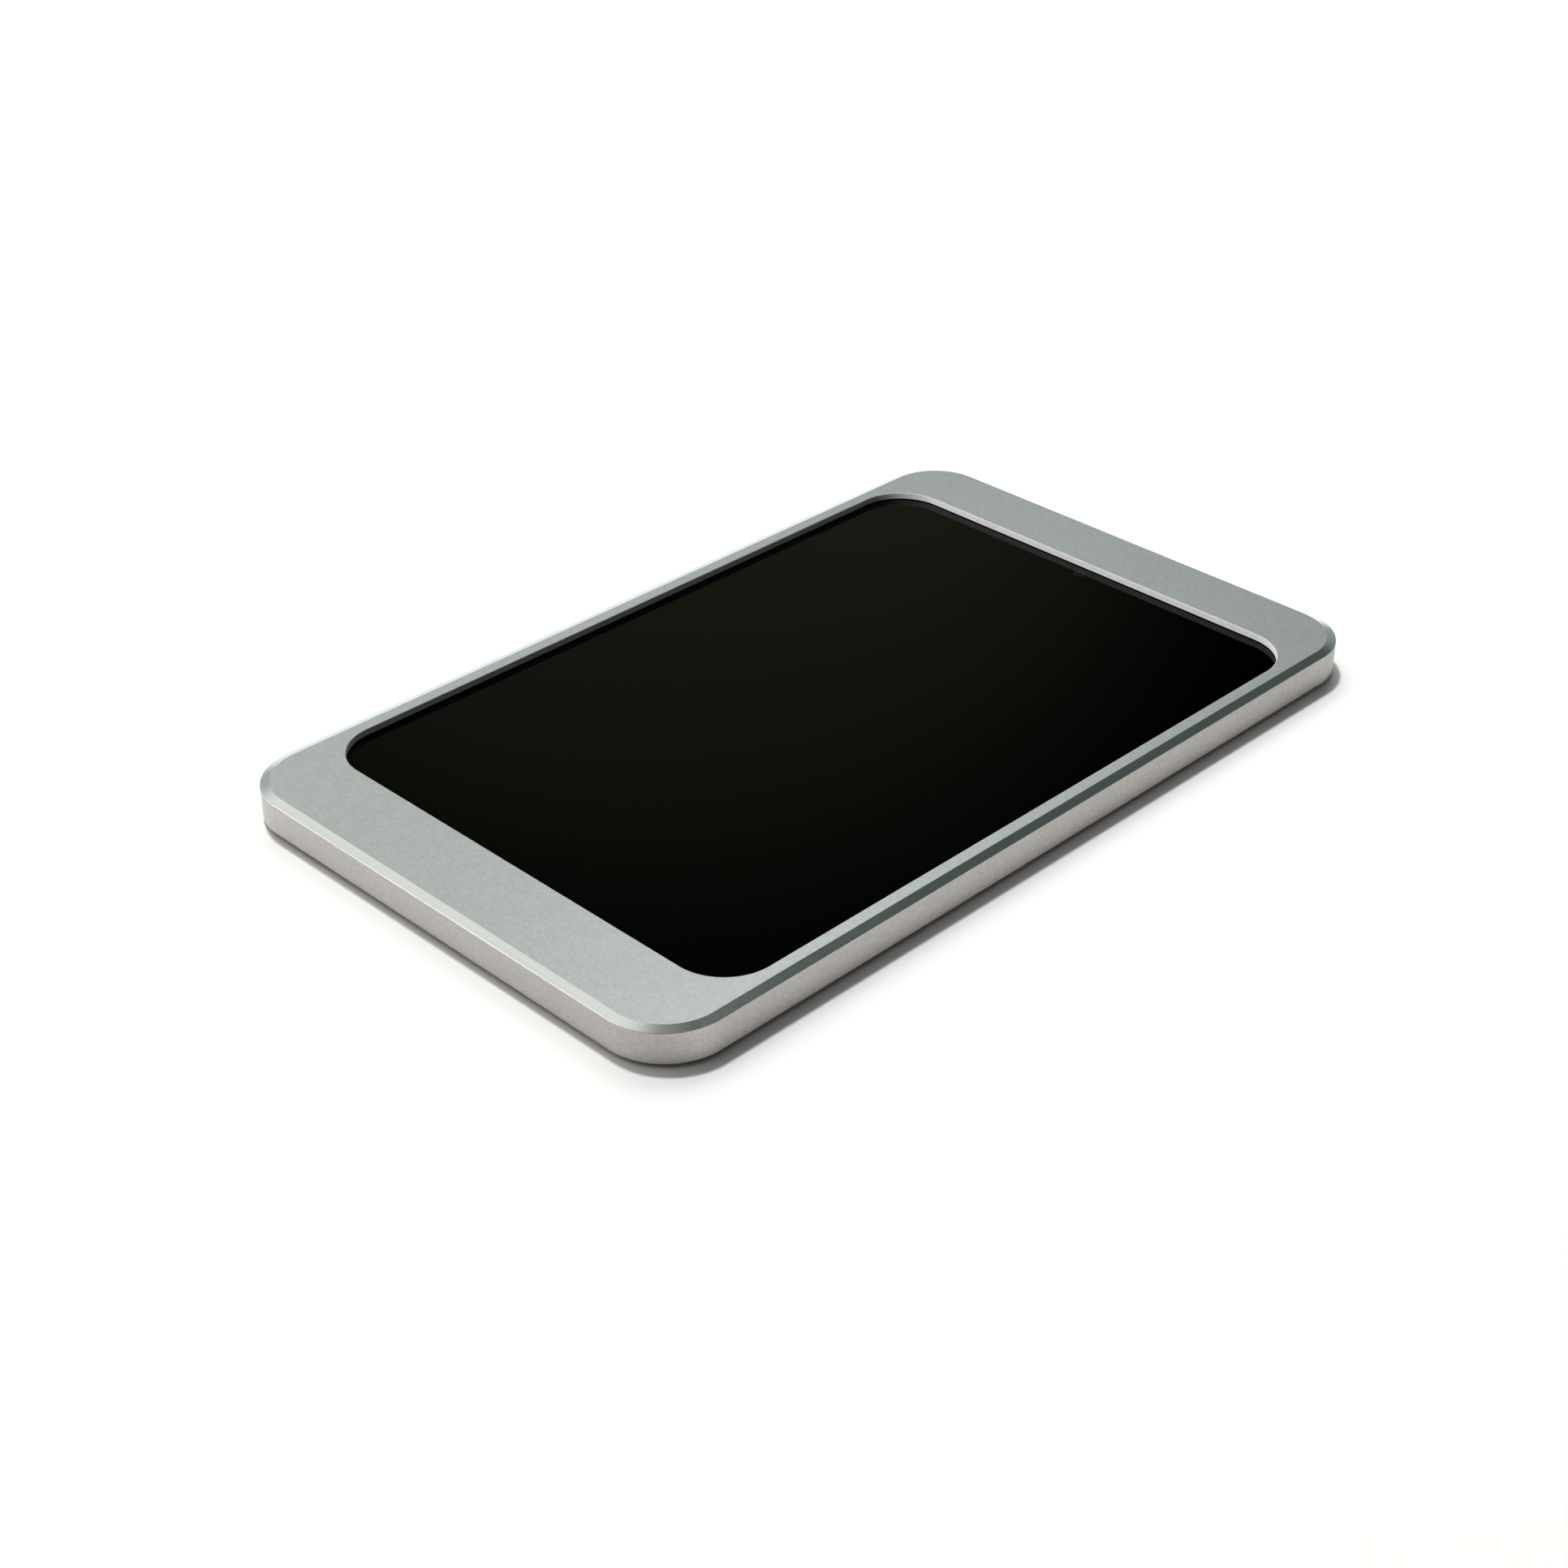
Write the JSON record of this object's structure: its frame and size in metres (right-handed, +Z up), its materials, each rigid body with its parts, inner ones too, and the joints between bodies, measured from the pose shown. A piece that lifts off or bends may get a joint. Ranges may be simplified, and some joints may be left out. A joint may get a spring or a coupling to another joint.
{
  "type": "tablet computer",
  "caption": "Slim tablet computer with a chamfered aluminium front housing, recessed display glass, side keys, plastic rear cover and rubber feet.",
  "frame": {"origin": "centre of the footprint in the plane of the feet's undersides; the tablet lies on its back", "axes": "+Z up out of the display, +Y towards the short side with the front camera, +X to the right seen from the front"},
  "size_m": [0.1377, 0.2278, 0.009],
  "materials": {
    "housing_aluminium": "fine bead-blasted and anodised, satin",
    "key_aluminium": "anodised, satin",
    "display_glass": "polished, black behind",
    "gasket_foam": "matt closed-cell foam",
    "display_film": "clear coated film",
    "panel_glass": "polarised, dark when off",
    "backlight_plastic": "white diffusing",
    "circuit_board": "solder mask on glass fibre",
    "flex_film": "polyimide film",
    "magnesium_frame": "cast light alloy, passivated",
    "battery_pouch": "wrapped pouch foil",
    "chip_package": "moulded epoxy",
    "plated_steel": "nickel plated sheet",
    "black_plastic": "moulded, matt",
    "lens_glass": "coated, polished",
    "graphite_film": "dark grey film",
    "antenna_copper": "bare copper foil",
    "cover_plastic": "fine spark-eroded texture",
    "screw_steel": "dark zinc plated",
    "foot_rubber": "matt moulded rubber"
  },
  "bodies": {
    "housing": {"front_housing": "housing_aluminium", "glass_gasket": "gasket_foam", "cover_glass": "display_glass", "touch_sensor": "display_film", "lcd_panel": "panel_glass", "backlight_unit": "backlight_plastic", "display_driver_board": "circuit_board", "display_flex": "flex_film", "display_cable": "flex_film", "mid_frame": "magnesium_frame", "battery_cell_left": "battery_pouch", "battery_cell_right": "battery_pouch", "battery_protection_board": "circuit_board", "battery_lead": "flex_film", "main_board": "circuit_board", "processor": "chip_package", "memory_chip": "chip_package", "storage_chip": "chip_package", "wireless_chip": "chip_package", "processor_shield": "plated_steel", "wireless_shield": "plated_steel", "front_camera": "black_plastic", "front_camera_lens": "lens_glass", "light_sensor": "chip_package", "rear_camera": "black_plastic", "rear_camera_ring": "key_aluminium", "rear_camera_window": "lens_glass", "usb_socket_shell": "plated_steel", "usb_socket_tongue": "black_plastic", "port_board": "circuit_board", "port_flex": "flex_film", "microphone_left": "plated_steel", "microphone_right": "plated_steel", "speaker_left": "black_plastic", "speaker_right": "black_plastic", "speaker_mesh_left": "plated_steel", "speaker_mesh_right": "plated_steel", "power_switch": "plated_steel", "power_switch_board": "flex_film", "volume_up_switch": "plated_steel", "volume_down_switch": "plated_steel", "volume_switch_board": "flex_film", "graphite_sheet": "graphite_film", "antenna_left": "antenna_copper", "antenna_right": "antenna_copper", "rear_cover": "cover_plastic", "cover_screw_1": "screw_steel", "cover_screw_2": "screw_steel", "cover_screw_3": "screw_steel", "cover_screw_4": "screw_steel", "cover_screw_5": "screw_steel", "cover_screw_6": "screw_steel", "foot_1": "foot_rubber", "foot_2": "foot_rubber", "foot_3": "foot_rubber", "foot_4": "foot_rubber"},
    "power_button": {"power_button": "key_aluminium"},
    "volume_up_button": {"volume_up_button": "key_aluminium"},
    "volume_down_button": {"volume_down_button": "key_aluminium"}
  },
  "joints": [
    {"name": "power_press", "type": "slide", "parent": "housing", "child": "power_button", "axis": [0, -1, 0], "range_m": [0, 0.0004], "stiffness_N_per_m": 600, "springref_m": -0.0005},
    {"name": "volume_up_press", "type": "slide", "parent": "housing", "child": "volume_up_button", "axis": [1, 0, 0], "range_m": [0, 0.0004], "stiffness_N_per_m": 600, "springref_m": -0.0005},
    {"name": "volume_down_press", "type": "slide", "parent": "housing", "child": "volume_down_button", "axis": [1, 0, 0], "range_m": [0, 0.0004], "stiffness_N_per_m": 600, "springref_m": -0.0005}
  ]
}
